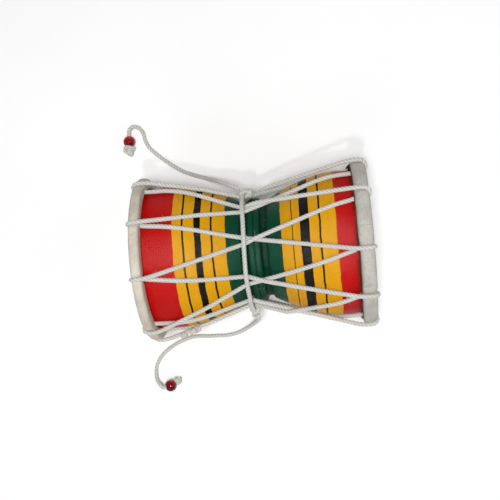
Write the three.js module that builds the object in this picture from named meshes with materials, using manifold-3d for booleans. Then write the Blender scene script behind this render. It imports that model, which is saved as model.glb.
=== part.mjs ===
// A damaru: a small two-headed hourglass drum, lying on its side with its two strikers beside it.
// Millimetres, +Z up. The drum's axis runs along X. Until the last lines, X is measured from the
// middle of the drum and Y and Z from its axis. A polar angle of 0 points up and 90 towards +Y.

import * as THREE from 'three';
import { mergeVertices } from 'three/addons/utils/BufferGeometryUtils.js';
import Module from 'manifold-3d';

const wasm = await Module();
wasm.setup();

// Whole drum
const drumLength = 150; // over the crests of the two rims
const clearance = 0.3; // between pieces that touch
const roundSides = 28; // facets round the drum

// Wooden shell
const mouthRadius = 45;
const bellySwell = 2.4; // of the belly beyond the mouth
const footRadius = 32.8; // of each cup, where it rises from the waist
const shellWall = 6;
const waistBoreRadius = 22;
const waistCentre = 1; // X of the turned ring
const ringRadius = 34.4;
const ringWidth = 7;
const ringRounding = 0.6; // of the ring's edges
const grooveDepth = 3.6; // below the ring's top
const grooveWidth = 5.5; // of the groove on each side of the ring
const grooveRounding = 0.5; // of the groove's corners

// Heads: a skin stretched over the mouth and rolled round a hoop
const skinThickness = 1;
const skinInset = 0.5; // of the skin behind the rim's crest
const channelRise = 3.2; // of the rope's line inside the hoop above the mouth
const hoopGap = 0.5; // between that rope and the hoop, beyond the usual clearance
const hoopThickness = 4.3;
const leftRimWidth = 7.6;
const rightRimWidth = 9.2;
const rimRounding = 2;
const skinTuck = 1; // of the skin's edge inside the hoop
const flatWidth = 14; // of the flat spot under each rim, on which the drum lies

// Rope and cords
const ropeDiameter = 3;
const ropeSides = 5;
const cordSides = 8;
const holeClearance = 0.6; // round the rope in the skin
const loopProud = 2.7; // of the rope's loops beyond the rim's crest
const facetAllowance = 0.25; // for a leg's clearance where it turns over a facet
const crossingGap = 0.1; // between two legs that cross
const bindingLift = 1.1; // of the pinched rope above the waist ring's top
const bindingSlack = 0.9; // between the pinched rope and the binding
const wrapRadius = 2.25; // of the turns of the knot and the hitch
const wrapSpacing = 2.2; // degrees of each turn of the knot from its middle
const knotLean = 0.35; // radians of those turns to each side
const hitchLean = 0.3;
const knotAngle = 91;
const hitchAngle = -95;
const looseEndLength = 4.4; // of the binding's end below the hitch
const looseEndShift = 1.2; // of its tip towards the left

// Strikers
const beadDiameter = 8.8;
const beadBoreRadius = 1.9;
const cordLeadIn = 1.5; // of straight cord before the bore
const cordShortfall = 1; // of the cord's end before the far side of the bore

// The rope's polar angles, in its order round each rim: over the rim, and where it comes out below it
const leftHoles = [
  { over: 63.2, under: 64.9 },
  { over: 25.2, under: 26.1 },
  { over: -12.2, under: -14 },
  { over: -58.9, under: -59.5 },
  { over: -92, under: -95 },
  { over: -128, under: -132 },
  { over: -157, under: -161 },
  { over: -203, under: -207 },
  { over: -249, under: -253 },
];
const rightHoles = [
  { over: 69, under: 63.5 },
  { over: 36, under: 33.1 },
  { over: -4.6, under: -4.2 },
  { over: -38, under: -42.4 },
  { over: -79.9, under: -84 },
  { over: -121, under: -126 },
  { over: -157, under: -162 },
  { over: -203, under: -208 },
  { over: -233, under: -237 },
];

// Where each leg passes under the binding: rising legs end over the right rim, falling ones over the left
const risingPinch = [51, 13.3, -27, -64.3, -101, -136, -174, -217, -257.5];
const fallingPinch = [44.2, 6.9, -36.5, -87, -112, -146, -186, -231, -277.5];
const seamLegIndex = 6; // of the falling leg under the drum on which the rope's two ends lie side by side
const seamOverlap = 9; // of each end past the binding

// Striker routes, from the middle of the drum and the surface it lies on, up to the bead's bore
const upperStriker = {
  route: [
    [-8.6, 41.5, 52], [-13.2, 44.3, 50.4], [-17.6, 46.4, 46], [-23.1, 49.1, 38.3], [-28.4, 51.4, 29.1],
    [-34.2, 53.9, 19.9], [-39.9, 56.3, 12], [-45.3, 58.5, 6.2], [-50.2, 60.6, 3], [-54.3, 62.7, 1.8],
    [-57.6, 64.8, 1.6], [-63.2, 68.9, 1.6], [-68.8, 73.5, 1.6], [-73.8, 78, 1.6], [-78.1, 83, 1.6],
    [-80.3, 88.2, 1.6], [-81.2, 93.1, 1.8], [-83.8, 97.1, 2.4], [-87.9, 98.8, 3.2], [-91, 96.6, 4],
  ],
  bead: [-91.7, 87.8, 4.7],
  boreDirection: [-0.02, -0.98, 0.1],
  knot: [-92, 80, 5],
  knotRadius: 4.7,
};
const lowerStriker = {
  route: [
    [-3.6, -43.6, 50], [-3.7, -46, 46], [-4.7, -47.8, 38.8], [-6.6, -49.6, 28.6], [-9.4, -51.8, 17.3],
    [-13.4, -54.6, 7.6], [-18.6, -57.4, 2.6], [-25, -59.8, 1.6], [-32.5, -60.8, 1.6], [-39.1, -60.5, 1.6],
    [-45.7, -60.4, 1.6], [-52.4, -59.9, 1.6], [-58.4, -60.2, 1.6], [-64.6, -62, 1.6], [-70.2, -64.2, 1.6],
    [-75.8, -67.4, 1.6], [-80.9, -71.3, 1.6], [-84.7, -76.1, 1.6], [-86.8, -81, 1.8], [-87, -86, 3],
    [-85.8, -90.4, 5.4],
  ],
  bead: [-76.3, -94, 6.3],
  boreDirection: [0.88, 0.14, -0.4],
  knot: [-69, -92.2, 4.1],
  knotRadius: 3.9,
};

const rimCrest = drumLength / 2;
const mouthX = rimCrest - skinInset - skinThickness - clearance;
const bellyRadius = mouthRadius + bellySwell;
const grooveRadius = ringRadius - grooveDepth;
const ropeRadius = ropeDiameter / 2;
const ropeLift = ropeRadius + clearance + facetAllowance;
const channelRadius = mouthRadius + channelRise;
const hoopInnerRadius = channelRadius + ropeRadius + clearance + hoopGap;
const rimRadius = hoopInnerRadius + hoopThickness;
const axisHeight = Math.sqrt(rimRadius ** 2 - (flatWidth / 2) ** 2);
const pinchX = waistCentre - ringWidth / 2 - grooveWidth / 2;
const pinchRadius = ringRadius + bindingLift;
const bindingRadius = pinchRadius + ropeDiameter + bindingSlack;

function vector(x, radius, degrees) {
  const angle = THREE.MathUtils.degToRad(degrees);
  return new THREE.Vector3(x, radius * Math.sin(angle), radius * Math.cos(angle));
}

// Solids: three.js geometry in and out of the boolean library
function toSolid(geometry) {
  const bare = geometry.index ? geometry.toNonIndexed() : geometry.clone();
  bare.deleteAttribute('normal');
  bare.deleteAttribute('uv');
  const merged = mergeVertices(bare, 1e-4);
  const positions = merged.attributes.position;
  const [a, b, c] = [new THREE.Vector3(), new THREE.Vector3(), new THREE.Vector3()];
  const triangles = [];
  let volume = 0;
  for (let i = 0; i < merged.index.count; i += 3) {
    const corners = [merged.index.getX(i), merged.index.getX(i + 1), merged.index.getX(i + 2)];
    if (new Set(corners).size < 3) continue;
    triangles.push(corners);
    a.fromBufferAttribute(positions, corners[0]);
    b.fromBufferAttribute(positions, corners[1]);
    c.fromBufferAttribute(positions, corners[2]);
    volume += a.dot(b.cross(c)) / 6;
  }
  const facingOut = volume < 0 ? triangles.map(([i, j, k]) => [i, k, j]) : triangles;
  return new wasm.Manifold(new wasm.Mesh({
    numProp: 3,
    vertProperties: new Float32Array(positions.array),
    triVerts: new Uint32Array(facingOut.flat()),
  }));
}

function toGeometry(solid) {
  const mesh = solid.getMesh();
  const geometry = new THREE.BufferGeometry();
  geometry.setAttribute('position', new THREE.BufferAttribute(new Float32Array(mesh.vertProperties), 3));
  geometry.setIndex(new THREE.BufferAttribute(new Uint32Array(mesh.triVerts), 1));
  geometry.computeVertexNormals();
  return geometry;
}

function joined(solids) {
  return solids.reduce((whole, solid) => whole.add(solid));
}

// A closed outline of [X, radius] points, turned round the drum's axis
function turned(outline) {
  const points = outline.map(([x, radius]) => new THREE.Vector2(radius, x));
  const geometry = new THREE.LatheGeometry([...points, points[0]], roundSides);
  geometry.rotateZ(-Math.PI / 2);
  geometry.rotateX(Math.PI / roundSides);
  return toSolid(geometry);
}

// A round bar with one section at each of its points
class StationCurve extends THREE.CatmullRomCurve3 {
  getUtoTmapping(u) {
    return u;
  }
}

function bar(points, radius, sides) {
  const section = new THREE.Shape();
  for (let i = 0; i < sides; i++) {
    const angle = (2 * Math.PI * i) / sides;
    const [x, y] = [radius * Math.cos(angle), radius * Math.sin(angle)];
    if (i === 0) section.moveTo(x, y);
    else section.lineTo(x, y);
  }
  section.closePath();
  return toSolid(new THREE.ExtrudeGeometry(section, {
    steps: points.length - 1,
    extrudePath: new StationCurve(points, false, 'centripetal'),
  }));
}

// The shell's outside from the waist to a mouth: a foot that swells to the belly and draws in again.
// The shares are of the way from the foot to the mouth.
const bellyShare = 0.72;
const swellShare = 0.42;
const drawInShare = 0.88;
const swellSteps = 5;
const drawInSteps = 3;

function cupOutline(direction) {
  const start = waistCentre + direction * (ringWidth / 2 + grooveWidth);
  const length = direction * mouthX - start;
  const place = (share, radius) => new THREE.Vector2(start + share * length, radius);
  const swell = new THREE.QuadraticBezierCurve(
    place(0, footRadius), place(swellShare, bellyRadius), place(bellyShare, bellyRadius));
  const drawIn = new THREE.QuadraticBezierCurve(
    place(bellyShare, bellyRadius), place(drawInShare, bellyRadius), place(1, mouthRadius));
  return [...swell.getPoints(swellSteps), ...drawIn.getPoints(drawInSteps).slice(1)]
    .map((point) => [point.x, point.y]);
}

// The turned ring, with a hollow groove on each side of it
const grooveFloor = { from: 0.2, deepest: 0.5, to: 0.78 }; // shares of the groove's width from the ring

function waistOutline() {
  const half = ringWidth / 2;
  const groove = (side) => [
    [waistCentre + side * (half + grooveFloor.to * grooveWidth), grooveRadius + grooveRounding],
    [waistCentre + side * (half + grooveFloor.deepest * grooveWidth), grooveRadius],
    [waistCentre + side * (half + grooveFloor.from * grooveWidth), grooveRadius + grooveRounding],
    [waistCentre + side * (half - ringRounding), ringRadius - ringRounding],
  ];
  return [...groove(-1), [waistCentre, ringRadius], ...groove(1).reverse()];
}

const outerOutline = [...cupOutline(-1).reverse(), ...waistOutline(), ...cupOutline(1)];

// The hollow inside follows the outside a wall's thickness away, and narrows to a bore at the waist
const hollowShares = [0.2, 0.5, 0.78, 1];

function boreOutline() {
  const side = (direction) => hollowShares.map((share) => {
    const x = direction * share * mouthX;
    return [x, radiusAt(outerOutline, x) - shellWall];
  });
  return [...side(-1).reverse(), [waistCentre, waistBoreRadius], ...side(1)];
}

function radiusAt(outline, x) {
  const index = outline.findIndex(([place]) => place >= x);
  if (index < 1) return outline[index === 0 ? 0 : outline.length - 1][1];
  const [[x0, r0], [x1, r1]] = [outline[index - 1], outline[index]];
  return THREE.MathUtils.mapLinear(x, x0, x1, r0, r1);
}

const shell = turned([...outerOutline, ...boreOutline().reverse()]);

// The rope, from leg to leg
// A taut line is the lowest one that passes over all it has to clear, with its two ends fixed
function taut(points) {
  const hull = [];
  for (const point of points) {
    while (hull.length > 1) {
      const [p, q] = hull.slice(-2);
      if ((q[0] - p[0]) * (point[1] - p[1]) - (q[1] - p[1]) * (point[0] - p[0]) < 0) break;
      hull.pop();
    }
    hull.push(point);
  }
  return hull;
}

function rimWidth(side) {
  return side < 0 ? leftRimWidth : rightRimWidth;
}

const overRadius = rimRadius + ropeRadius + clearance;
const loopRadius = (overRadius - channelRadius) / 2;
const loopCentreRadius = (overRadius + channelRadius) / 2;
const loopStart = rimCrest + loopProud - ropeRadius - loopRadius; // distance from the drum's middle
const straightBesideLoop = 2; // of a leg's end in the channel
const rimOverlap = 1; // of the loop's ends past the rim's inner edge
const channelDip = 0.3; // of the loop's return into the channel
const legStep = 1;
const loopSteps = 3;

// One side of a leg runs straight from the binding to the rim, where nothing is in its way
function chord(pinchAngle, side, isOver, endAngle) {
  const end = isOver
    ? { x: side * (rimCrest - rimWidth(side) - rimOverlap), radius: overRadius }
    : { x: side * (loopStart - straightBesideLoop), radius: channelRadius };
  const from = vector(pinchX, pinchRadius, 0);
  const to = vector(end.x, end.radius, endAngle - pinchAngle);
  const pointAt = (x) => {
    const share = THREE.MathUtils.clamp((x - pinchX) / (end.x - pinchX), 0, 1);
    return from.clone().lerp(to, share);
  };
  return {
    side,
    endX: end.x,
    angle: (x) => pinchAngle + THREE.MathUtils.radToDeg(Math.atan2(pointAt(x).y, pointAt(x).z)),
    radius: (x) => Math.hypot(pointAt(x).y, pointAt(x).z),
  };
}

// Its height there, lifted as tautly as it goes over the shell and over what is raised
function liftedRadius({ side, endX, radius }, raised) {
  const reach = side * (endX - pinchX);
  const points = [[0, 1]];
  for (let along = legStep; along < reach; along += legStep) {
    const x = pinchX + side * along;
    points.push([along, Math.max(radiusAt(outerOutline, x) + ropeLift, raised(x)) / radius(x)]);
  }
  points.push([reach, 1]);
  const line = taut(points);
  return (x) => radius(x) * radiusAt(line, side * (x - pinchX));
}

function leg(kind, index) {
  const next = (index + 1) % leftHoles.length;
  const rising = kind === 'rising';
  const turns = 360 * Math.floor((index + 1) / leftHoles.length);
  const pinch = rising ? risingPinch[index] : fallingPinch[index];
  const left = rising
    ? chord(pinch, -1, false, leftHoles[index].under)
    : chord(pinch, -1, true, leftHoles[next].over - turns);
  const right = rising
    ? chord(pinch, 1, true, rightHoles[next].over - turns)
    : chord(pinch, 1, false, rightHoles[index].under);
  return { left, right, angle: (x) => (x < pinchX ? left.angle(x) : right.angle(x)) };
}

// The two legs of a pair cross right of the binding, and every other pair has its rising leg on top
function pair(index) {
  const flat = () => 0;
  const legs = { rising: leg('rising', index), falling: leg('falling', index) };
  const [top, bottom] = index % 2 === 0 ? ['rising', 'falling'] : ['falling', 'rising'];
  const height = (name, raised) => {
    const left = liftedRadius(legs[name].left, flat);
    const right = liftedRadius(legs[name].right, raised);
    return (x) => (x < pinchX ? left(x) : right(x));
  };
  legs[bottom].height = height(bottom, flat);
  legs[top].height = height(top, (x) => {
    const under = legs[bottom].height(x);
    const apart = under * THREE.MathUtils.degToRad(legs[top].angle(x) - legs[bottom].angle(x));
    const spacing = ropeDiameter + crossingGap;
    return Math.abs(apart) < spacing ? under + Math.sqrt(spacing ** 2 - apart ** 2) : 0;
  });
  return legs;
}

const pairs = leftHoles.map((_, index) => pair(index));
const legPlaces = [-58, -45, -31, -18, pinchX, -0.5, 4, 9, 20, 34, 46, 58];

function legPoints(kind, index, places) {
  const { height, angle } = pairs[index][kind];
  const points = places.map((x) => vector(x, height(x), angle(x)));
  return kind === 'rising' ? points : points.reverse();
}

// The rope's loop over a rim: along the rim, round its crest, through the skin and back below the hoop
function loopPoints(side, hole) {
  const angleAt = (share) => THREE.MathUtils.lerp(hole.over, hole.under, share);
  const rimStart = rimCrest - rimWidth(side) + rimOverlap;
  const points = [[rimStart, overRadius, 0]];
  for (let step = 0; step <= loopSteps; step++) {
    const turn = (Math.PI * step) / loopSteps;
    points.push([
      loopStart + loopRadius * Math.sin(turn),
      loopCentreRadius + loopRadius * Math.cos(turn),
      step / loopSteps,
    ]);
  }
  points.push([rimStart, channelRadius + channelDip, 1]);
  return points.map(([x, radius, share]) => vector(side * x, radius, angleAt(share)));
}

function ropePoints() {
  const count = leftHoles.length;
  const lastLeg = legPoints('falling', seamLegIndex, legPlaces.filter((x) => x > pinchX));
  const points = legPoints('falling', seamLegIndex, [...legPlaces.filter((x) => x <= pinchX), pinchX + seamOverlap]);
  let kind = 'rising';
  let index = (seamLegIndex + 1) % count;
  points.push(...loopPoints(-1, leftHoles[index]));
  for (let turn = 1; turn < 2 * count; turn++) {
    points.push(...legPoints(kind, index, legPlaces));
    index = (index + 1) % count;
    const side = kind === 'rising' ? 1 : -1;
    points.push(...loopPoints(side, (side > 0 ? rightHoles : leftHoles)[index]));
    kind = kind === 'rising' ? 'falling' : 'rising';
  }
  const beside = (ropeDiameter + clearance) / pinchRadius;
  const seam = pairs[seamLegIndex].falling;
  const tuck = [pinchX, pinchX - seamOverlap].map((x) =>
    vector(x, seam.height(x), seam.angle(x) + THREE.MathUtils.radToDeg(beside)));
  return [...points, ...lastLeg, ...tuck];
}

const lacing = bar(ropePoints(), ropeRadius, ropeSides);

// Heads
function head(side, holes) {
  const width = rimWidth(side);
  const inner = skinInset + skinThickness;
  const outline = [
    [inner, 0], [inner, hoopInnerRadius], [width, hoopInnerRadius], [width, rimRadius - rimRounding],
    [width - rimRounding, rimRadius], [rimRounding, rimRadius], [0, rimRadius - rimRounding],
    [0, hoopInnerRadius], [skinInset, hoopInnerRadius - skinTuck], [skinInset, 0],
  ];
  const blank = turned(outline.map(([depth, radius]) => [side * (rimCrest - depth), radius]));
  const cutter = (hole) => {
    const loop = loopPoints(side, hole).slice(1, -1);
    const tail = vector(side * (loopStart - straightBesideLoop - rimOverlap), channelRadius, hole.under);
    return bar([...loop, tail], ropeRadius + holeClearance, ropeSides);
  };
  const laced = holes.reduce((solid, hole) => solid.subtract(cutter(hole)), blank);
  const under = new THREE.BoxGeometry(3 * width, rimRadius, rimRadius);
  under.translate(side * rimCrest, 0, -axisHeight - rimRadius / 2);
  return laced.subtract(toSolid(under));
}

// Binding: one turn of cord round the lacing, with wraps of its own end as the knot and the hitch
const wrapSides = 8;

function wrap(degrees, lean, x) {
  const ring = new THREE.TorusGeometry(wrapRadius, ropeRadius, ropeSides, wrapSides);
  ring.rotateY(lean);
  ring.rotateX(THREE.MathUtils.degToRad(-degrees));
  const centre = vector(x, bindingRadius, degrees);
  ring.translate(centre.x, centre.y, centre.z);
  return toSolid(ring);
}

function binding() {
  const turn = new THREE.TorusGeometry(bindingRadius, ropeRadius, ropeSides, roundSides);
  turn.rotateY(Math.PI / 2);
  turn.translate(pinchX, 0, 0);
  const knot = [-1, 1].map((half) => wrap(knotAngle + half * wrapSpacing, half * knotLean, pinchX));
  const hitch = wrap(hitchAngle, hitchLean, pinchX);
  const start = bindingRadius + ropeRadius / 2;
  const end = bar([
    vector(pinchX, start, hitchAngle - 1),
    vector(pinchX - looseEndShift, start + looseEndLength, hitchAngle + 1),
  ], ropeRadius, ropeSides);
  return joined([toSolid(turn), ...knot, hitch, end]);
}

// Strikers: a cord, the bead threaded on it and the knot in its end that holds the bead
const beadSteps = 6;

function routePoints(route) {
  return route.map(([x, y, z]) => new THREE.Vector3(x, y, z - axisHeight));
}

function striker({ route, bead, boreDirection, knot, knotRadius }) {
  const [beadCentre, knotCentre] = routePoints([bead, knot]);
  const along = new THREE.Vector3(...boreDirection).normalize();
  const turnTo = new THREE.Quaternion().setFromUnitVectors(new THREE.Vector3(0, 1, 0), along);
  const halfBore = Math.sqrt((beadDiameter / 2) ** 2 - beadBoreRadius ** 2);
  const outline = [];
  for (let step = 0; step <= beadSteps; step++) {
    const angle = THREE.MathUtils.lerp(-1, 1, step / beadSteps) * Math.atan2(halfBore, beadBoreRadius);
    outline.push(new THREE.Vector2(Math.cos(angle), Math.sin(angle)).multiplyScalar(beadDiameter / 2));
  }
  const ball = new THREE.LatheGeometry([...outline, outline[0]], 2 * beadSteps);
  ball.applyQuaternion(turnTo);
  ball.translate(beadCentre.x, beadCentre.y, beadCentre.z);
  const onBore = (distance) => beadCentre.clone().addScaledVector(along, distance);
  const threaded = [-halfBore - cordLeadIn, -halfBore, halfBore - cordShortfall].map(onBore);
  const cord = bar([...routePoints(route), ...threaded], ropeRadius, cordSides);
  return { bead: toSolid(ball), cord, knot: endKnot(turnTo, knotCentre, knotRadius) };
}

// A knot in a cord's end: a round lump with two turns of cord standing out of it
const coreShare = 0.8; // of the knot's radius
const turnLeans = [0.5, -0.6];
const knotSides = 7;

function endKnot(turnTo, centre, radius) {
  const core = new THREE.SphereGeometry(radius * coreShare, knotSides, ropeSides);
  const bands = turnLeans.map((lean) => {
    const band = new THREE.TorusGeometry(radius - ropeRadius, ropeRadius, ropeSides, knotSides);
    band.rotateX(Math.PI / 2 + lean);
    return band;
  });
  return joined([core, ...bands].map((geometry) => {
    geometry.applyQuaternion(turnTo);
    geometry.translate(centre.x, centre.y, centre.z);
    return toSolid(geometry);
  }));
}

// Materials and the finished group
function material(color, roughness) {
  return new THREE.MeshStandardMaterial({ color, roughness, metalness: 0 });
}

const paint = material(0xd9a514, 0.3);
const hide = material(0xcfc8ba, 0.75);
const cotton = material(0xd6d2c8, 0.95);
const beadRed = material(0x7a0a10, 0.15);

const upper = striker(upperStriker);
const lower = striker(lowerStriker);

const pieces = [
  ['shell', shell, paint],
  ['left_head', head(-1, leftHoles), hide],
  ['right_head', head(1, rightHoles), hide],
  ['lacing', lacing, cotton],
  ['waist_binding', binding(), cotton],
  ['upper_striker_cord', upper.cord, cotton],
  ['upper_striker_bead', upper.bead, beadRed],
  ['upper_striker_knot', upper.knot, cotton],
  ['lower_striker_cord', lower.cord, cotton],
  ['lower_striker_bead', lower.bead, beadRed],
  ['lower_striker_knot', lower.knot, cotton],
];

const group = new THREE.Group();
for (const [name, solid, finish] of pieces) {
  const mesh = new THREE.Mesh(toGeometry(solid), finish);
  mesh.name = name;
  group.add(mesh);
}

// The origin is under the middle of the drum, on the surface it lies on
const drum = new THREE.Box3();
for (const mesh of group.children) {
  if (!mesh.name.includes('striker')) drum.expandByObject(mesh);
}
const middle = drum.getCenter(new THREE.Vector3());
group.position.set(-middle.x, -middle.y, axisHeight);

export default group;
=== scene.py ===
# A damaru, a small hourglass drum, on its side with its two strikers beside it.
# Shapes are worked out in millimetres, X from the drum's middle and Y and Z from its axis, and become
# metres in the row's frame when a mesh is made. A polar angle of 0 points up and 90 towards +Y.
import math

import bpy
import numpy as np
from mathutils import Matrix, Vector


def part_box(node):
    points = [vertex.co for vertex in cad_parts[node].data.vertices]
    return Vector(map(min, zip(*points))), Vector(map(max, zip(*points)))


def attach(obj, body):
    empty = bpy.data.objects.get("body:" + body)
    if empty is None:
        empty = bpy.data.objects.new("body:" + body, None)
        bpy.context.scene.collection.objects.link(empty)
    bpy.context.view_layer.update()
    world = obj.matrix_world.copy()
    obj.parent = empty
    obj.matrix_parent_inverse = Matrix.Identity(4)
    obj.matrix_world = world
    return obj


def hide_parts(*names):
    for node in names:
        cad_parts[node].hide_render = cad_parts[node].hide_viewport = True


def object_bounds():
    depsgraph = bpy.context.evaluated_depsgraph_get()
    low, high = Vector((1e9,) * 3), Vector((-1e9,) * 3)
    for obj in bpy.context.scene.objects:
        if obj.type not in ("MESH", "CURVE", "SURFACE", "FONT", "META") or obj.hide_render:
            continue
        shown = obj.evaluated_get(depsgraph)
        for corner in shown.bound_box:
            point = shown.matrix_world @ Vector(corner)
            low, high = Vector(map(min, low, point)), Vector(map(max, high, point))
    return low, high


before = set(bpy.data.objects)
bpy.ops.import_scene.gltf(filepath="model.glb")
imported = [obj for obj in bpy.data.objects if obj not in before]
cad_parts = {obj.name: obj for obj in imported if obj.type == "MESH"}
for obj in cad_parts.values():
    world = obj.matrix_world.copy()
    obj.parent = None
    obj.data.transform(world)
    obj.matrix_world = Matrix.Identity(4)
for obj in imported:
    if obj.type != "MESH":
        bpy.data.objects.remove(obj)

cad_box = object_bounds()

MIDDLE = np.mean(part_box("shell"), axis=0) * 1000  # of the drum in the row's frame
BOX_LOW, BOX_HIGH = (np.array(corner) * 1000 - MIDDLE for corner in cad_box)


def to_row(points):
    return (np.asarray(points, float) + MIDDLE) / 1000


# Camera, at the photograph's viewing angle
CAMERA_PLACE = (45.666, 0.314, 550.039)
CAMERA_TILT = 0.091578  # towards the drum's middle, about Y
CAMERA_ROLL = -0.087373  # about its own line of sight
LENS = 59.381
SENSOR = 36

camera_data = bpy.data.cameras.new("camera")
camera_data.sensor_width = SENSOR
camera_data.lens = LENS
camera = bpy.data.objects.new("camera", camera_data)
bpy.context.scene.collection.objects.link(camera)
camera.matrix_world = (
    Matrix.Translation(to_row(CAMERA_PLACE))
    @ Matrix.Rotation(CAMERA_TILT, 4, "Y")
    @ Matrix.Rotation(CAMERA_ROLL, 4, "Z")
)
bpy.context.scene.camera = camera


# Meshes
def mesh_piece(name, points, faces, material, attributes=None):
    mesh = bpy.data.meshes.new(name)
    mesh.from_pydata(to_row(points).tolist(), [], faces)
    mesh.polygons.foreach_set("use_smooth", [True] * len(mesh.polygons))
    for key, values in (attributes or {}).items():
        values = np.asarray(values, float)
        kind, field = ("FLOAT", "value") if values.ndim == 1 else ("FLOAT_VECTOR", "vector")
        layer = mesh.attributes.new(key, kind, "POINT")
        layer.data.foreach_set(field, values.ravel())
    mesh.materials.append(material)
    mesh.update()
    piece = bpy.data.objects.new(name, mesh)
    bpy.context.scene.collection.objects.link(piece)
    return piece


def grid_faces(rows, columns, wrap_rows=False, start=0):
    """The faces between rows of points that each go round."""
    faces = []
    for i in range(rows if wrap_rows else rows - 1):
        for j in range(columns):
            a, b = i * columns, ((i + 1) % rows) * columns
            k = (j + 1) % columns
            faces.append((start + a + j, start + b + j, start + b + k, start + a + k))
    return faces


# Smooth repeatable unevenness: a sum of a few waves with seeded directions
class Ripple:
    def __init__(self, seed, size, waves=9):
        rng = np.random.default_rng(seed)
        self.k = rng.normal(size=(waves, 3)) / size
        self.phase = rng.uniform(0, 2 * np.pi, waves)

    def __call__(self, points):
        return np.sin(np.asarray(points) @ self.k.T + self.phase).mean(axis=-1) * 1.6


def polar(x, radius, degrees):
    angle = np.radians(degrees)
    x, radius, angle = np.broadcast_arrays(x, radius, angle)
    return np.stack([x, radius * np.sin(angle), radius * np.cos(angle)], axis=-1)


# Three-strand rope
ROPE = 1.5  # radius
STRAND = 1.0
LAY = 7.4  # length of one full twist
SIDES = 18
UNEVEN = 0.035  # share of its radius by which it is thicker and thinner
FIBRE_LENGTH = 1.5
FRAY_SPACING = 75.0  # of the spots where more fibres have come loose
FRAY_FIBRES = 9
FRAY_LENGTH = 3.0


def resampled(points, step):
    lengths = np.linalg.norm(np.diff(points, axis=0), axis=1)
    at = np.concatenate([[0], np.cumsum(lengths)])
    count = max(2, int(round(at[-1] / step)) + 1)
    places = np.linspace(0, at[-1], count)
    return np.stack([np.interp(places, at, points[:, i]) for i in range(3)], axis=1)


def smoothed(points, spread, step=0.4):
    """The same line with its corners rounded over about `spread`, and its ends kept."""
    line = resampled(np.asarray(points, float), step)
    reach = int(3 * spread / step)
    weights = np.exp(-0.5 * (np.arange(-reach, reach + 1) * step / spread) ** 2)
    weights /= weights.sum()
    head = 2 * line[0] - line[reach:0:-1]
    tail = 2 * line[-1] - line[-2:-reach - 2:-1]
    padded = np.concatenate([head, line, tail])
    return np.stack([np.convolve(padded[:, i], weights, "valid") for i in range(3)], axis=1)


def spline(points, step=0.4):
    """A smooth curve through the points (centripetal Catmull-Rom)."""
    p = np.asarray(points, float)
    p = np.concatenate([[2 * p[0] - p[1]], p, [2 * p[-1] - p[-2]]])
    out = []
    for a, b, c, d in zip(p[:-3], p[1:-2], p[2:-1], p[3:]):
        t = [0.0]
        for u, v in ((a, b), (b, c), (c, d)):
            t.append(t[-1] + max(np.linalg.norm(v - u), 1e-6) ** 0.5)
        s = np.linspace(t[1], t[2], max(3, int(np.linalg.norm(c - b) / step)), endpoint=False)[:, None]
        ab = (t[1] - s) / (t[1] - t[0]) * a + (s - t[0]) / (t[1] - t[0]) * b
        bc = (t[2] - s) / (t[2] - t[1]) * b + (s - t[1]) / (t[2] - t[1]) * c
        cd = (t[3] - s) / (t[3] - t[2]) * c + (s - t[2]) / (t[3] - t[2]) * d
        abc = (t[2] - s) / (t[2] - t[0]) * ab + (s - t[0]) / (t[2] - t[0]) * bc
        bcd = (t[3] - s) / (t[3] - t[1]) * bc + (s - t[1]) / (t[3] - t[1]) * cd
        out.append((t[2] - s) / (t[2] - t[1]) * abc + (s - t[1]) / (t[2] - t[1]) * bcd)
    return np.concatenate(out + [p[-2:-1]])


def carried_frames(line, closed):
    """Two normals at each point, carried along the line without twist, and the angle that they are off by
    when they come round a closed line."""
    if closed:
        tangent = np.roll(line, -1, axis=0) - np.roll(line, 1, axis=0)
    else:
        tangent = np.gradient(line, axis=0)
    tangent /= np.linalg.norm(tangent, axis=1)[:, None]
    across = np.cross(tangent[0], [0.31, 0.17, 0.93])
    normals = []
    for t in [*tangent, tangent[0]]:
        across = across - t * (across @ t)
        across = across / np.linalg.norm(across)
        normals.append(across)
    again = normals.pop()
    normals = np.array(normals)
    sides = np.cross(tangent, normals)
    return normals, sides, math.atan2(again @ sides[0], again @ normals[0])


def come_round(points):
    """The points with the first one again at their end."""
    return np.concatenate([points, points[:1]])


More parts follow.
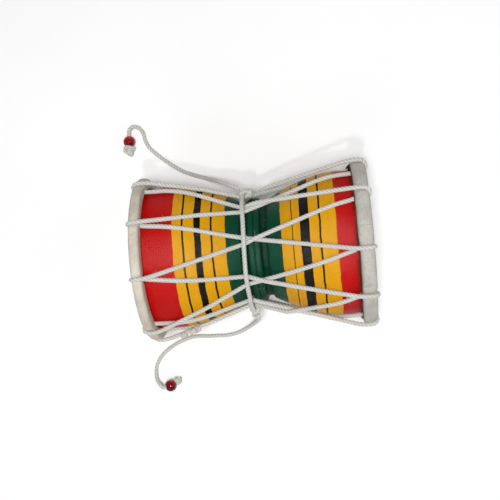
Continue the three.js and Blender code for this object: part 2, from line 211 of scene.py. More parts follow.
class Rope:
    """Gathers rope lines, their cut ends and their loose fibres in one mesh."""

    def __init__(self, seed):
        self.points, self.faces, self.strand, self.crown = [], [], [], []
        self.count = 0
        self.rng = np.random.default_rng(seed)
        self.sway = Ripple(seed + 1, 9.0)

    def _add(self, points, faces, strand, crown):
        self.points.append(points)
        self.faces.extend(faces)
        self.strand.append(strand)
        self.crown.append(crown)
        self.count += len(points)

    def line(self, path, step, fibres, radius=ROPE, taper=0.0, closed=False, frays=True):
        """Adds a rope along the path, with so many fibres a millimetre. Its ends taper over that length."""
        line = resampled(np.asarray(path, float), step)
        if closed:
            line = line[:-1]
        normal, side, off = carried_frames(line, closed)
        rows = len(line)
        along = np.arange(rows) * step
        turns = max(1, round(rows * step / LAY)) - off / (2 * np.pi) if closed else rows * step / LAY
        twist = 2 * np.pi * turns * np.arange(rows) / rows
        around = np.linspace(0, 2 * np.pi, SIDES, endpoint=False)
        lobe = (around + np.pi / 3) % (2 * np.pi / 3) - np.pi / 3
        offset = ROPE - STRAND
        section = offset * np.cos(lobe) + np.sqrt(STRAND ** 2 - (offset * np.sin(lobe)) ** 2)
        crown = (section - section.min()) / (section.max() - section.min())
        angle = around[None, :] + twist[:, None]
        size = section[None, :] * (radius / ROPE) * (1 + UNEVEN * self.sway(line)[:, None])
        if taper:
            ends = np.clip(np.minimum(along, along[-1] - along) / taper, 0, 1)
            size = size * np.sqrt(np.clip(ends * (2 - ends), 0.02, 1))[:, None]
        c, s = np.cos(angle), np.sin(angle)
        out = c[..., None] * normal[:, None] + s[..., None] * side[:, None]
        points = line[:, None] + size[..., None] * out
        strand = np.stack([np.broadcast_to(along[:, None], c.shape), size * c, size * s], axis=-1)
        start = self.count
        faces = grid_faces(rows, SIDES, wrap_rows=closed, start=start)
        points = points.reshape(-1, 3)
        strand = strand.reshape(-1, 3)
        crowns = np.tile(crown, rows)
        if not closed:
            caps = np.array([line[0], line[-1]])
            points = np.concatenate([points, caps])
            strand = np.concatenate([strand, [[0, 0, 0], [along[-1], 0, 0]]])
            crowns = np.concatenate([crowns, [0.4, 0.4]])
            first, last = start + rows * SIDES, start + rows * SIDES + 1
            base = start + (rows - 1) * SIDES
            for j in range(SIDES):
                k = (j + 1) % SIDES
                faces.append((start + j, start + k, first))
                faces.append((base + k, base + j, last))
        faces = [face[::-1] for face in faces]
        self._add(points, faces, strand, crowns)
        self.fuzz(line, normal, side, radius, int(fibres * rows * step), FIBRE_LENGTH)
        for _ in range(int(rows * step / FRAY_SPACING) if frays else 0):
            place = int(self.rng.integers(2, rows - 2))
            self.fuzz(line, normal, side, radius, FRAY_FIBRES, FRAY_LENGTH, place)

    def fuzz(self, line, normal, side, radius, count, longest, place=None):
        """Short loose fibres that stand out of a rope, all along it or near one point of its line."""
        rng = self.rng
        for _ in range(count):
            i = int(rng.integers(1, len(line) - 1)) if place is None else place + int(rng.normal(0, 1.6))
            i = min(max(i, 1), len(line) - 2)
            turn = rng.uniform(0, 2 * np.pi)
            out = np.cos(turn) * normal[i] + np.sin(turn) * side[i]
            along = np.cross(normal[i], side[i])
            around = np.cross(along, out)
            length = rng.uniform(0.5, 1.0) ** 2 * longest
            lean = rng.normal(0, 1.0)
            drift = rng.normal(0, 0.8)
            self.fibre(line[i] + out * radius * 0.72, out, along * lean + around * drift, length,
                       rng.uniform(0.03, 0.055))

    def fibre(self, root, out, drift, length, width):
        rng = self.rng
        steps = np.linspace(0, 1, 4)[:, None]
        bend = rng.normal(0, 0.35, 3)
        course = out * steps * (1 - 0.35 * steps) + drift * steps ** 1.3 * 0.6 + bend * steps ** 2
        spine = root + length * course
        across = np.cross(out, drift)
        across = across / max(np.linalg.norm(across), 1e-6) * width
        thin = (1 - 0.75 * steps)
        points = np.concatenate([spine - across * thin, spine + across * thin])
        n = len(spine)
        starts = range(self.count, self.count + n - 1)
        faces = [(i, i + 1, n + i + 1, n + i) for i in starts]
        strand = np.tile([self.count * 0.37, 0, 0], (2 * n, 1))
        self._add(points, faces, strand, np.full(2 * n, 1.0))

    def piece(self, name):
        points = np.clip(np.concatenate(self.points), BOX_LOW, BOX_HIGH)
        return mesh_piece(
            name, points, self.faces, cotton,
            {"strand": np.concatenate(self.strand), "crown": np.concatenate(self.crown)},
        )


# Node materials
class Nodes:
    """Builds one material's nodes. An input is given by its name, or by its number after an underscore, and
    takes a node's output, a number or a colour."""

    def __init__(self, name):
        self.material = bpy.data.materials.new(name)
        self.material.use_nodes = True
        self.tree = self.material.node_tree
        self.shader = self.tree.nodes["Principled BSDF"]

    def put(self, socket, value):
        if isinstance(value, bpy.types.NodeSocket):
            self.tree.links.new(value, socket)
        elif socket.type == "RGBA":
            socket.default_value = (*value, 1)
        else:
            socket.default_value = value

    def node(self, kind, settings=None, **inputs):
        node = self.tree.nodes.new("ShaderNode" + kind)
        for key, value in (settings or {}).items():
            setattr(node, key, value)
        for key, value in inputs.items():
            by_number = key[0] == "_"
            self.put(node.inputs[int(key[1:]) if by_number else key.replace("_", " ")], value)
        return node

    def math(self, operation, a, b=0.0):
        return self.node("Math", {"operation": operation}, _0=a, _1=b).outputs[0]

    def vector(self, operation, a, b):
        return self.node("VectorMath", {"operation": operation}, _0=a, _1=b).outputs[0]

    def noise(self, vector, scale, detail, roughness=0.55):
        node = self.node("TexNoise", Vector=vector, Scale=scale, Detail=detail, Roughness=roughness)
        return node.outputs["Fac"]

    def stretched_noise(self, at, stretch, detail, roughness=0.55):
        return self.noise(self.vector("MULTIPLY", at, stretch), 1.0, detail, roughness)

    def darkened(self, share, colour, tint):
        """The colour, multiplied by the tint by that share."""
        return self.mix(share, colour, self.mix(1.0, colour, tint, "MULTIPLY"))

    def mix(self, share, a, b, blend="MIX"):
        node = self.node("Mix", {"data_type": "RGBA", "blend_type": blend, "clamp_factor": True})
        for socket, value in ((node.inputs[0], share), (node.inputs[6], a), (node.inputs[7], b)):
            self.put(socket, value)
        return node.outputs[2]

    def ramp(self, value, stops, mode="LINEAR"):
        node = self.node("ValToRGB", Fac=value)
        ramp = node.color_ramp
        ramp.interpolation = mode
        while len(ramp.elements) > 1:
            ramp.elements.remove(ramp.elements[-1])
        for i, (place, colour) in enumerate(stops):
            colour = (colour,) * 3 if isinstance(colour, (int, float)) else colour
            element = ramp.elements[0] if i == 0 else ramp.elements.new(place)
            element.position = place
            element.color = (*colour, 1)
        return node.outputs["Color"]

    def range(self, value, low, high, to_low=0.0, to_high=1.0):
        node = self.node("MapRange", {"clamp": True}, _0=value, _1=low, _2=high, _3=to_low, _4=to_high)
        return node.outputs[0]

    def bump(self, height, distance, strength):
        return self.node("Bump", Height=height, Distance=distance, Strength=strength).outputs["Normal"]

    def finish(self, **inputs):
        for key, value in inputs.items():
            self.put(self.shader.inputs[key.replace("_", " ")], value)
        return self.material


def linear(r, g, b):
    """A colour given as the screen shows it, 0 to 255, as the shader needs it."""
    return tuple(((v / 255 + 0.055) / 1.055) ** 2.4 if v > 10 else v / 255 / 12.92 for v in (r, g, b))


def object_millimetres(n):
    """Object coordinates in millimetres from the drum's middle and axis."""
    at = n.node("TexCoord").outputs["Object"]
    at = n.node("VectorMath", {"operation": "SCALE"}, _0=at, Scale=1000.0).outputs[0]
    return n.vector("SUBTRACT", at, tuple(MIDDLE))


RED = linear(178, 7, 5)
YELLOW = linear(208, 150, 3)
BLACK = linear(10, 8, 6)
BROWN = linear(48, 26, 16)
GREEN = linear(3, 64, 43)
WOOD = linear(150, 110, 72)

# The turned stripes, each from its own X to the next one's
STRIPES = [
    (-75, WOOD), (-69.6, RED), (-48.7, YELLOW), (-42.95, BLACK), (-42.1, YELLOW),
    (-35.5, BLACK), (-31.6, YELLOW), (-25.3, BLACK), (-24.4, YELLOW), (-16.5, GREEN), (18.75, YELLOW),
    (25.4, BLACK), (26.3, YELLOW), (30.7, BLACK), (36.4, YELLOW), (42.7, BLACK), (43.5, YELLOW),
    (53.1, RED), (64.9, BROWN), (66.5, WOOD),
]


# Painted shade across the waist: how light the paint is, by X, darker in its grooves
GROOVE_SHADE = [
    (-9, 1.0), (-7, 0.5), (-4, 0.45), (-3, 0.95), (0.3, 1.0), (1, 0.4), (1.7, 0.9), (4.6, 0.8), (6, 0.4),
    (8.6, 0.5), (10.5, 0.95), (16, 1.0),
]


def stops_between(low, high, pairs):
    """Places from low to high as a ramp's shares from 0 to 1."""
    return [((place - low) / (high - low), value) for place, value in pairs]


def paint_material():
    n = Nodes("painted_wood")
    at = object_millimetres(n)
    parts = n.node("SeparateXYZ", Vector=at)
    x, y, z = parts.outputs
    radius = n.math("SQRT", n.math("ADD", n.math("MULTIPLY", y, y), n.math("MULTIPLY", z, z)))
    # Hand-painted edges wander a little round the drum
    wander = n.math("SUBTRACT", n.stretched_noise(at, (0.02, 0.055, 0.055), 2), 0.5)
    waver = n.math("SUBTRACT", n.stretched_noise(at, (0.3, 0.45, 0.45), 2), 0.5)
    place = n.math("ADD", x, n.math("ADD", n.math("MULTIPLY", wander, 1.6), n.math("MULTIPLY", waver, 0.5)))
    colour = n.ramp(n.range(place, -75.0, 75.0), stops_between(-75, 75, STRIPES), "CONSTANT")
    # Paint lies thinner and thicker in turned streaks, and is mottled
    streaks = n.stretched_noise(at, (1.3, 0.05, 0.05), 4)
    colour = n.darkened(n.range(streaks, 0.35, 0.75, 0.0, 0.16), colour, (0.62, 0.5, 0.42))
    mottle = n.stretched_noise(at, (0.22, 0.22, 0.22), 5, 0.65)
    colour = n.darkened(n.range(mottle, 0.42, 0.72, 0.0, 0.22), colour, (0.72, 0.55, 0.5))
    # Shade is painted into the waist's grooves, a patchy dark brown band lies by the right rim, and there are
    # dark specks and pale chips
    groove_shade = n.ramp(n.range(x, -10.0, 20.0), stops_between(-10, 20, GROOVE_SHADE))
    colour = n.darkened(0.85, colour, groove_shade)
    # A patchy dark brown band on the shell next to the right rim, partly grime and partly painted shade of
    # the corner under the rim
    near_rim = n.range(x, 62.6, 65.0)
    grime_and_shade = n.stretched_noise(at, (0.5, 0.35, 0.35), 4)
    colour = n.mix(n.math("MULTIPLY", near_rim, n.range(grime_and_shade, 0.35, 0.6)), colour, linear(66, 30, 22))
    specks = n.stretched_noise(at, (1.6, 1.6, 1.6), 2)
    colour = n.mix(n.range(specks, 0.76, 0.8, 0.0, 0.75), colour, linear(52, 36, 26))
    chips = n.stretched_noise(at, (1.0, 0.7, 0.7), 4, 0.75)
    at_waist = n.range(n.math("ABSOLUTE", n.math("SUBTRACT", x, 4.0)), 24.0, 8.0)
    worn = n.stretched_noise(at, (0.09, 0.07, 0.07), 2)
    easily = n.math("MULTIPLY", at_waist, n.range(worn, 0.46, 0.66, 0.0, 0.13))
    chipped = n.range(n.math("ADD", chips, easily), 0.74, 0.78, 0.0, 0.8)
    colour = n.mix(chipped, colour, linear(160, 164, 146))
    # Long scratches along the turning marks of the waist
    scratch = n.stretched_noise(at, (2.4, 0.25, 0.25), 3, 0.7)
    scratched = n.math("MULTIPLY", at_waist, n.range(scratch, 0.66, 0.72, 0.0, 0.45))
    colour = n.mix(scratched, colour, linear(96, 120, 104))
    # The inside is bare wood
    limit = n.math("ADD", 28.5, n.math("MULTIPLY", n.math("ABSOLUTE", x), 0.18))
    inside = n.math("LESS_THAN", radius, limit)
    colour = n.mix(inside, colour, WOOD)
    rough = n.range(mottle, 0.3, 0.8, 0.1, 0.22)
    rough = n.math("ADD", rough, n.math("MULTIPLY", chipped, 0.4))
    # Turning marks, a slight orange peel, finer speckle, and chips a little below the paint
    turning = n.node("TexNoise", {"noise_dimensions": "1D"}, W=x, Scale=1.7, Detail=3.0).outputs["Fac"]
    peel = n.noise(at, 0.7, 2)
    speckle = n.noise(at, 1.25, 3, 0.7)
    height = n.math("ADD", n.math("MULTIPLY", turning, 0.35), n.math("MULTIPLY", peel, 0.5))
    height = n.math("ADD", height, n.math("MULTIPLY", speckle, 0.6))
    height = n.math("SUBTRACT", height, n.math("MULTIPLY", chipped, 0.4))
    normal = n.bump(height, 0.0007, 0.95)
    # The gloss has worn off round the sides and underneath, where it is handled and set down
    gloss = n.range(n.math("DIVIDE", z, radius), 0.5, 0.96, 0.02, 0.42)
    return n.finish(Base_Color=colour, Roughness=rough, Normal=normal, IOR=1.36, Specular_IOR_Level=gloss)


def hide_material(name, tint, ragged):
    """Rawhide: pale, fibrous and blotched, and brown on its cut edge, which shows most where it is ragged."""
    n = Nodes(name)
    at = object_millimetres(n)
    under = n.node("Attribute", {"attribute_name": "turned_under"}).outputs["Fac"]
    hole = n.node("Attribute", {"attribute_name": "hole"}).outputs["Fac"]
    blotch = n.stretched_noise(at, (0.12, 0.07, 0.07), 5, 0.6)
    light, dark = tuple(min(1, c * 1.1) for c in tint), tuple(c * 0.8 for c in tint)
    colour = n.ramp(blotch, [(0.28, dark), (0.5, tint), (0.74, light)])
    fibre = n.stretched_noise(at, (0.9, 2.4, 2.4), 4, 0.7)
    colour = n.mix(n.range(fibre, 0.35, 0.75, 0.0, 0.25), colour, linear(162, 150, 128))
    stains = n.stretched_noise(at, (0.35, 0.3, 0.3), 6, 0.75)
    colour = n.mix(n.range(stains, 0.52, 0.72, 0.0, 0.45), colour, linear(148, 138, 118))
    flecks = n.stretched_noise(at, (0.8, 0.8, 0.8), 4, 0.7)
    colour = n.mix(n.range(flecks, 0.56, 0.72, 0.0, 0.45), colour, linear(124, 114, 98))
    edge = n.math("ADD", under, n.math("MULTIPLY", n.math("SUBTRACT", n.noise(at, 0.7, 3), 0.5), 0.9))
    brown = n.mix(n.range(fibre, 0.4, 0.7), linear(58, 34, 24), linear(96, 66, 46))
    share = n.range(edge, 0.3, 0.5) if ragged else n.range(under, 0.85, 1.0, 0.0, 0.6)
    colour = n.mix(share, colour, brown)
    # Painted shade: darker brown round the holes where the rope goes into the skin
    colour = n.mix(n.range(hole, 0.55, 0.95, 0.0, 0.6), colour, linear(120, 96, 70))
    wrinkle = n.stretched_noise(at, (0.3, 0.75, 0.75), 5, 0.65)
    grain = n.noise(at, 1.6, 4, 0.7)
    height = n.math("ADD", wrinkle, n.math("MULTIPLY", grain, 0.5 if ragged else 0.3))
    return n.finish(
        Base_Color=colour, Roughness=n.range(blotch, 0.3, 0.7, 0.62, 0.85),
        Normal=n.bump(height, 0.0011 if ragged else 0.0007, 0.8),
        Subsurface_Weight=0.1, Subsurface_Radius=(0.003, 0.002, 0.0012), Subsurface_Scale=0.5,
    )


def cotton_material():
    """Off-white cotton with painted shade between the strands, yarns along them and a little dirt."""
    n = Nodes("cotton_cord")
    strand = n.node("Attribute", {"attribute_name": "strand"}).outputs["Vector"]
    crown = n.node("Attribute", {"attribute_name": "crown"}).outputs["Fac"]
    at = object_millimetres(n)
    yarns = n.stretched_noise(strand, (0.55, 3.6, 3.6), 3, 0.6)
    fluff = n.noise(at, 2.6, 3, 0.7)
    dirt = n.noise(at, 0.05, 4, 0.6)
    # Painted shade: darker in the valleys between the strands, lighter on their crowns
    colour = n.ramp(crown, [
        (0.0, linear(158, 156, 149)), (0.35, linear(187, 186, 179)),
        (0.8, linear(203, 203, 197)), (1.0, linear(209, 209, 204)),
    ])
    colour = n.mix(n.range(yarns, 0.35, 0.7, 0.0, 0.4), colour, linear(170, 168, 160))
    colour = n.mix(n.range(dirt, 0.48, 0.72, 0.0, 0.35), colour, linear(178, 170, 154))
    height = n.math("ADD", n.math("MULTIPLY", yarns, 0.9), n.math("MULTIPLY", fluff, 0.45))
    return n.finish(
        Base_Color=colour, Roughness=0.92, Normal=n.bump(height, 0.0004, 0.85),
        Sheen_Weight=0.25, Sheen_Roughness=0.5, Specular_IOR_Level=0.25,
    )


def bead_material():
    """Dark red glossy cloudy plastic, with painted light that makes it brighter where `lit` is high."""
    n = Nodes("red_bead")
    at = object_millimetres(n)
    cloud = n.noise(at, 0.45, 3)
    # Painted light: `lit` makes the bead brighter on its upper +Y side, as if light gathered in it
    lit = n.node("Attribute", {"attribute_name": "lit"}).outputs["Fac"]
    painted_glow = n.math("ADD", n.math("MULTIPLY", cloud, 0.75), n.math("MULTIPLY", lit, 0.32))
    colour = n.ramp(painted_glow, [
        (0.34, linear(58, 0, 8)), (0.52, linear(120, 2, 8)),
        (0.68, linear(176, 18, 10)), (0.78, linear(214, 50, 14)),
    ])
    scratches = n.stretched_noise(at, (4.0, 0.8, 2.5), 4, 0.7)
    return n.finish(
        Base_Color=colour, Roughness=n.range(scratches, 0.4, 0.75, 0.05, 0.16), IOR=1.42,
        Transmission_Weight=0.12, Normal=n.bump(scratches, 0.00003, 0.5),
    )


paint = paint_material()
left_hide = hide_material("hide_left", linear(197, 189, 175), False)
right_hide = hide_material("hide_right", linear(184, 183, 175), True)
cotton = cotton_material()
bead_red = bead_material()


# The drum's sizes and the rope's places, which are those of the solids
CREST = 75.0  # X of the rims' crests
MOUTH_X = 73.2  # of the shell's mouths
PINCH_X = -5.25  # of the binding
PINCH_RADIUS = 35.5  # of the legs' centre lines under it
BINDING_RADIUS = 39.3
CHANNEL = 48.2  # radius of the rope's line inside the hoop, where its holes are
OVER = 55.45  # and over the rim
RIM = 54.8  # radius of the rim's top
RIM_WIDTH = {-1: 7.6, 1: 9.2}  # by side: -1 is the left and 1 the right

# Each loop's polar angles, over the rim and through the skin, round the left and the right head
LEFT = [
    (63.2, 64.9), (25.2, 26.1), (-12.2, -14), (-58.9, -59.5), (-92, -95), (-128, -132), (-157, -161),
    (-203, -207), (-249, -253),
]
RIGHT = [
    (69, 63.5), (36, 33.1), (-4.6, -4.2), (-38, -42.4), (-79.9, -84), (-121, -126), (-157, -162),
    (-203, -208), (-233, -237),
]
LOOPS = len(LEFT)

# Polar angles at which the legs pass under the binding
RISING_PINCH = [51, 13.3, -27, -64.3, -101, -136, -174, -217, -257.5]
FALLING_PINCH = [44.2, 6.9, -36.5, -87, -112, -146, -186, -231, -277.5]
SEAM_LEG = 6  # the falling leg on which the rope's two ends meet
SEAM_SPACING = 3.2  # between the two ends
SEAM_STEPS = (3, 6, 9)  # that they run on beyond the binding


# Shell
def bezier(a, b, c, count):
    t = np.linspace(0, 1, count)[:, None]
    return (1 - t) ** 2 * np.array(a) + 2 * t * (1 - t) * np.array(b) + t ** 2 * np.array(c)


RING_X = 1  # of the turned ring at the waist
CUP_START = 9.0  # from the ring to each cup
FOOT = 32.8  # radius of each cup where it starts
BELLY = 47.4
MOUTH = 45
WALL = 6
BORE_THROUGH = 22  # radius of the bore through the waist
BORE_REACH = 7  # of that bore from the middle

# The grooves and the ring between the cups, as (X, radius)
WAIST = np.array([
    (-8.0, 32.2), (-7.2, 31.3), (-5.9, 30.85), (-4.7, 30.9), (-3.7, 31.5), (-3.15, 32.7), (-2.75, 33.5),
    (-2.2, 34.0), (-1.2, 34.35), (-0.1, 34.45), (0.55, 34.35), (0.85, 34.0), (1.15, 34.0), (1.45, 34.35),
    (2.1, 34.45), (3.2, 34.35), (4.2, 34.0), (4.75, 33.5), (5.15, 32.7), (5.7, 31.5), (6.7, 30.9),
    (7.9, 30.85), (9.2, 31.3),
])


def cup(side):
    """A cup's outline from its foot over its belly to its mouth."""
    start = RING_X + side * CUP_START
    length = side * MOUTH_X - start

    def at(share, radius):
        return start + share * length, radius

    swell = bezier(at(0, FOOT), at(0.42, BELLY), at(0.72, BELLY), 70)
    draw = bezier(at(0.72, BELLY), at(0.88, BELLY), at(1, MOUTH), 34)
    return np.concatenate([swell, draw[1:]])


def shell_outline():
    waist = spline(np.column_stack([WAIST, np.zeros(len(WAIST))]), 0.22)[:, :2]
    return np.concatenate([cup(-1)[::-1], waist[1:-1], cup(1)])


OUTER = shell_outline()


def outer_radius(x):
    return np.interp(x, OUTER[:, 0], OUTER[:, 1])


def make_shell():
    places = np.array([1, 0.9, 0.78, 0.64, 0.5, 0.35, 0.2, 0.08])
    inner_x = np.concatenate([places * MOUTH_X, [1.0], -places[::-1] * MOUTH_X])
    hollow = np.minimum(outer_radius(inner_x), BELLY) - WALL
    inner_r = np.where(np.abs(inner_x) < BORE_REACH, BORE_THROUGH, hollow)
    outline = np.concatenate([OUTER, np.column_stack([inner_x, inner_r])])
    columns = 176
    degrees = np.linspace(0, 360, columns, endpoint=False)
    points = polar(outline[:, 0][:, None], outline[:, 1][:, None], degrees[None, :])
    uneven = Ripple(5, 26.0)
    outside = (np.arange(len(outline)) < len(OUTER))[:, None]
    lift = uneven(points) * 0.16 * outside
    points[..., 1:] *= (1 + lift / np.maximum(outline[:, 1], 1)[:, None])[..., None]
    faces = grid_faces(len(outline), columns, wrap_rows=True)
    return mesh_piece("painted_shell", points.reshape(-1, 3), faces, paint)


shell = make_shell()
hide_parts("shell")
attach(shell, "root")


# The rope's legs and loops
def taut(points):
    """The outline of a rope pulled tight over the points."""
    hull = []
    for p in points:
        while len(hull) > 1:
            (a, b), (c, d) = hull[-2], hull[-1]
            if (c - a) * (p[1] - b) - (d - b) * (p[0] - a) < 0:
                break
            hull.pop()
        hull.append(p)
    return np.array(hull)


LOOP_RADIUS = (OVER - CHANNEL) / 2
LOOP_CENTRE = (OVER + CHANNEL) / 2
LOOP_PROUD = 0.3  # of its centre line's end beyond the crest
LOOP_START = CREST + LOOP_PROUD - LOOP_RADIUS
LEG_LIFT = 1.42  # of a leg's centre line above the shell
CORNER = 1.1  # over which the rope's corners are rounded
WRAP_TURN = np.radians(np.linspace(-105, 105, 15))
CROSSING = 2.75  # between two legs' centre lines where one lies on the other


class Chord:
    """One side of a leg: straight from the binding to the rim, where nothing is in its way."""

    def __init__(self, pinch_angle, side, over, end_angle):
        self.side = side
        self.pinch_angle = pinch_angle
        self.end = side * (CREST - RIM_WIDTH[side] - 1) if over else side * (LOOP_START - 2)
        self.near = polar(PINCH_X, PINCH_RADIUS, 0)
        self.far = polar(self.end, OVER if over else CHANNEL, end_angle - pinch_angle)

    def at(self, x):
        share = min(max((x - PINCH_X) / (self.end - PINCH_X), 0), 1)
        return self.near + (self.far - self.near) * share

    def angle(self, x):
        _, y, z = self.at(x)
        return self.pinch_angle + math.degrees(math.atan2(y, z))

    def radius(self, x):
        _, y, z = self.at(x)
        return math.hypot(y, z)

    def lifted(self, raised):
        """Its height, lifted as tautly as it goes over the shell and over what is raised."""
        reach = self.side * (self.end - PINCH_X)
        points = [(0.0, 1.0)]
        for along in np.arange(0.5, reach, 0.5):
            x = PINCH_X + self.side * along
            points.append((along, max(float(outer_radius(x)) + LEG_LIFT, raised(x)) / self.radius(x)))
        points.append((reach, 1.0))
        line = taut(points)
        return lambda x: (
            self.radius(x) * float(np.interp(self.side * (x - PINCH_X), line[:, 0], line[:, 1]))
        )


def leg(kind, index):
    """A leg's left and right sides. A rising one goes from inside the left hoop to over the right rim."""
    following = (index + 1) % LOOPS
    turns = 360 * ((index + 1) // LOOPS)
    if kind == "rising":
        pinch = RISING_PINCH[index]
        left = Chord(pinch, -1, False, LEFT[index][1])
        right = Chord(pinch, 1, True, RIGHT[following][0] - turns)
    else:
        pinch = FALLING_PINCH[index]
        left = Chord(pinch, -1, True, LEFT[following][0] - turns)
        right = Chord(pinch, 1, False, RIGHT[index][1])
    return left, right


def leg_pair(index):
    """The two legs of a pair cross right of the binding, and every other pair has its rising leg on top."""
    legs = {kind: leg(kind, index) for kind in ("rising", "falling")}
    top, bottom = ("rising", "falling") if index % 2 == 0 else ("falling", "rising")

    def angles(kind):
        left, right = legs[kind]
        return lambda x: left.angle(x) if x < PINCH_X else right.angle(x)

    def heights(kind, raised):
        left, right = legs[kind][0].lifted(lambda x: 0.0), legs[kind][1].lifted(raised)
        return lambda x: left(x) if x < PINCH_X else right(x)

    below = heights(bottom, lambda x: 0.0)

    def over_crossing(x):
        under = below(x)
        apart = under * math.radians(angles(top)(x) - angles(bottom)(x))
        return under + math.sqrt(CROSSING ** 2 - apart ** 2) if abs(apart) < CROSSING else 0.0

    above = heights(top, over_crossing)
    return {bottom: (below, angles(bottom)), top: (above, angles(top))}


PAIRS = [leg_pair(i) for i in range(LOOPS)]


def leg_line(kind, index, places):
    height, angle = PAIRS[index][kind]
    points = [polar(x, height(x), angle(x)) for x in places]
    return points if kind == "rising" else points[::-1]


def loop_line(side, hole):
    """From over the rim round its crest and through the skin."""
    start = CREST - RIM_WIDTH[side] + 1
    points = [(start, OVER, 0.0)]
    for step in range(13):
        turn = math.pi * step / 12
        forward, up = LOOP_RADIUS * math.sin(turn), LOOP_RADIUS * math.cos(turn)
        points.append((LOOP_START + forward, LOOP_CENTRE + up, step / 12))
    points.append((start, CHANNEL + 0.3, 1.0))
    return [polar(side * x, r, hole[0] + (hole[1] - hole[0]) * s) for x, r, s in points]


LEG_PLACES = np.concatenate([
    np.arange(-64, PINCH_X - 0.5, 1.5), [PINCH_X], np.arange(PINCH_X + 1, 63, 1.0),
])


def lacing_line():
    """The whole rope, from one end to the other, with a leg and a loop in turn."""
    seam = PAIRS[SEAM_LEG]["falling"]
    ahead = LEG_PLACES[LEG_PLACES > PINCH_X]
    start = [*LEG_PLACES[LEG_PLACES <= PINCH_X], *(PINCH_X + step for step in SEAM_STEPS)]
    points = leg_line("falling", SEAM_LEG, start)
    kind, index = "rising", (SEAM_LEG + 1) % LOOPS
    points += loop_line(-1, LEFT[index])
    for _ in range(2 * LOOPS - 1):
        points += leg_line(kind, index, LEG_PLACES)
        index = (index + 1) % LOOPS
        side = 1 if kind == "rising" else -1
        points += loop_line(side, (RIGHT if side > 0 else LEFT)[index])
        kind = "falling" if kind == "rising" else "rising"
    points += leg_line("falling", SEAM_LEG, ahead)
    height, angle = seam
    beside = math.degrees(SEAM_SPACING / PINCH_RADIUS)
    ends = (PINCH_X, *(PINCH_X - step for step in SEAM_STEPS))
    points += [polar(x, height(x), angle(x) + beside) for x in ends]
    return smoothed(points, CORNER)


# Loose turns of cord round one leg of the left cup, each by its X, its reach and its lean
WRAPPED_LEG = PAIRS[3]["falling"]
WRAPS = [(-44.0, 2.0, 0.3), (-46.4, 2.3, -0.35), (-49.2, 2.2, 0.25), (-53.5, 2.0, -0.3), (-55.7, 1.8, 0.2)]


def wrapped_turn(x, reach, lean):
    """A turn that goes over the leg and is tucked in on both sides of it."""
    height, angle = (part(x) for part in WRAPPED_LEG)
    across, up = reach * np.sin(WRAP_TURN), reach * np.cos(WRAP_TURN)
    return polar(x + lean * across, height + up, angle + np.degrees(across / height))


def make_lacing():
    rope = Rope(11)
    rope.line(lacing_line(), step=0.9, fibres=1.8, taper=1.6)
    for x, reach, lean in WRAPS:
        turn = wrapped_turn(x, reach, lean)
        rope.line(turn, step=0.6, radius=1.35, fibres=3.0, taper=0.8, frays=False)
    return rope.piece("rope_lacing")


lacing = make_lacing()
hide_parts("lacing")
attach(lacing, "root")


# Binding: one turn of cord round the lacing, with a knot at the far side and a hitch at the near one
KNOT_ANGLE = 91
HITCH_ANGLE = -95


def binding_line():
    pinches = np.array(sorted(a % 360 for a in RISING_PINCH + FALLING_PINCH))
    degrees = np.arange(0, 360, 2.0)
    nearest = np.min(np.abs((degrees[:, None] - pinches[None, :] + 180) % 360 - 180), axis=1)
    radius = BINDING_RADIUS - 0.9 * np.clip(nearest / 14, 0, 1) ** 1.5
    sway = 0.35 * np.sin(np.radians(degrees * 2 + 40)) + 0.2 * np.sin(np.radians(degrees * 5))
    return come_round(polar(PINCH_X + sway, radius, degrees))


def wrap_line(degrees, lean, x, reach, lift, stretch):
    """A closed turn of cord round the binding at that angle, leaning to one side."""
    centre = polar(x, BINDING_RADIUS + lift, degrees)
    out = polar(0, 1, degrees)
    along = polar(0, 1, degrees + 90)
    turn = np.radians(np.arange(0, 360, 12.0))
    across = np.array([1.0, 0, 0]) * math.cos(lean) + along * math.sin(lean)
    round_it = np.cos(turn)[:, None] * across * stretch + np.sin(turn)[:, None] * out
    return come_round(centre + reach * round_it)


# The knot's turns: degrees from its middle, lean, X from the pinch, reach, lift and stretch along X
KNOT_TURNS = [
    (-3, 0.0, 2.2, 1.9, -1.2, 2.0), (-9, 0.35, 2.4, 1.9, -0.9, 1.9), (-14, -0.4, 2.0, 1.9, -0.7, 1.7),
    (-18, 0.3, 1.2, 1.7, -0.5, 1.3), (-10, 1.2, 4.2, 1.6, -1.1, 1.0),
]


def binding_piece():
    cords = Rope(23)
    cords.line(binding_line(), step=0.75, closed=True, fibres=2.2)
    for offset, lean, x, reach, lift, stretch in KNOT_TURNS:
        turn = wrap_line(KNOT_ANGLE + offset, lean, PINCH_X + x, reach, lift, stretch)
        cords.line(turn, step=0.6, radius=1.42, closed=True, fibres=2.0)
    hitch = wrap_line(HITCH_ANGLE, 0.3, PINCH_X, 2.3, 0.2, 1.05)
    cords.line(hitch, step=0.6, radius=1.42, closed=True, fibres=1.2)
    end = spline([
        polar(PINCH_X - 0.4, BINDING_RADIUS + 1.2, HITCH_ANGLE - 1.5),
        polar(PINCH_X - 0.7, BINDING_RADIUS + 3.2, HITCH_ANGLE - 0.5),
        polar(PINCH_X - 1.2, BINDING_RADIUS + 5.2, HITCH_ANGLE + 1),
    ])
    cords.line(end, step=0.5, radius=1.5, fibres=2.5)
    return cords.piece("waist_cord")


binding = binding_piece()
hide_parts("waist_binding")
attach(binding, "root")


# Heads: rawhide stretched over the mouth and rolled round the hoop
FLOOR_Z = -MIDDLE[2]  # of what the drum lies on
ROLL_FOOT = 51.2  # radius where the roll meets the skin
HEAD_COLUMNS = 420
FRONT = 0.5  # depth of the skin's face behind the crest
INSIDE = 1.5  # and of its back
LIP_LIFT = 50.3  # radius to which the left lip is lifted where the rope passes under it
FACE, ROLL, LIP, BACK = range(4)  # kinds of points in a head's outline

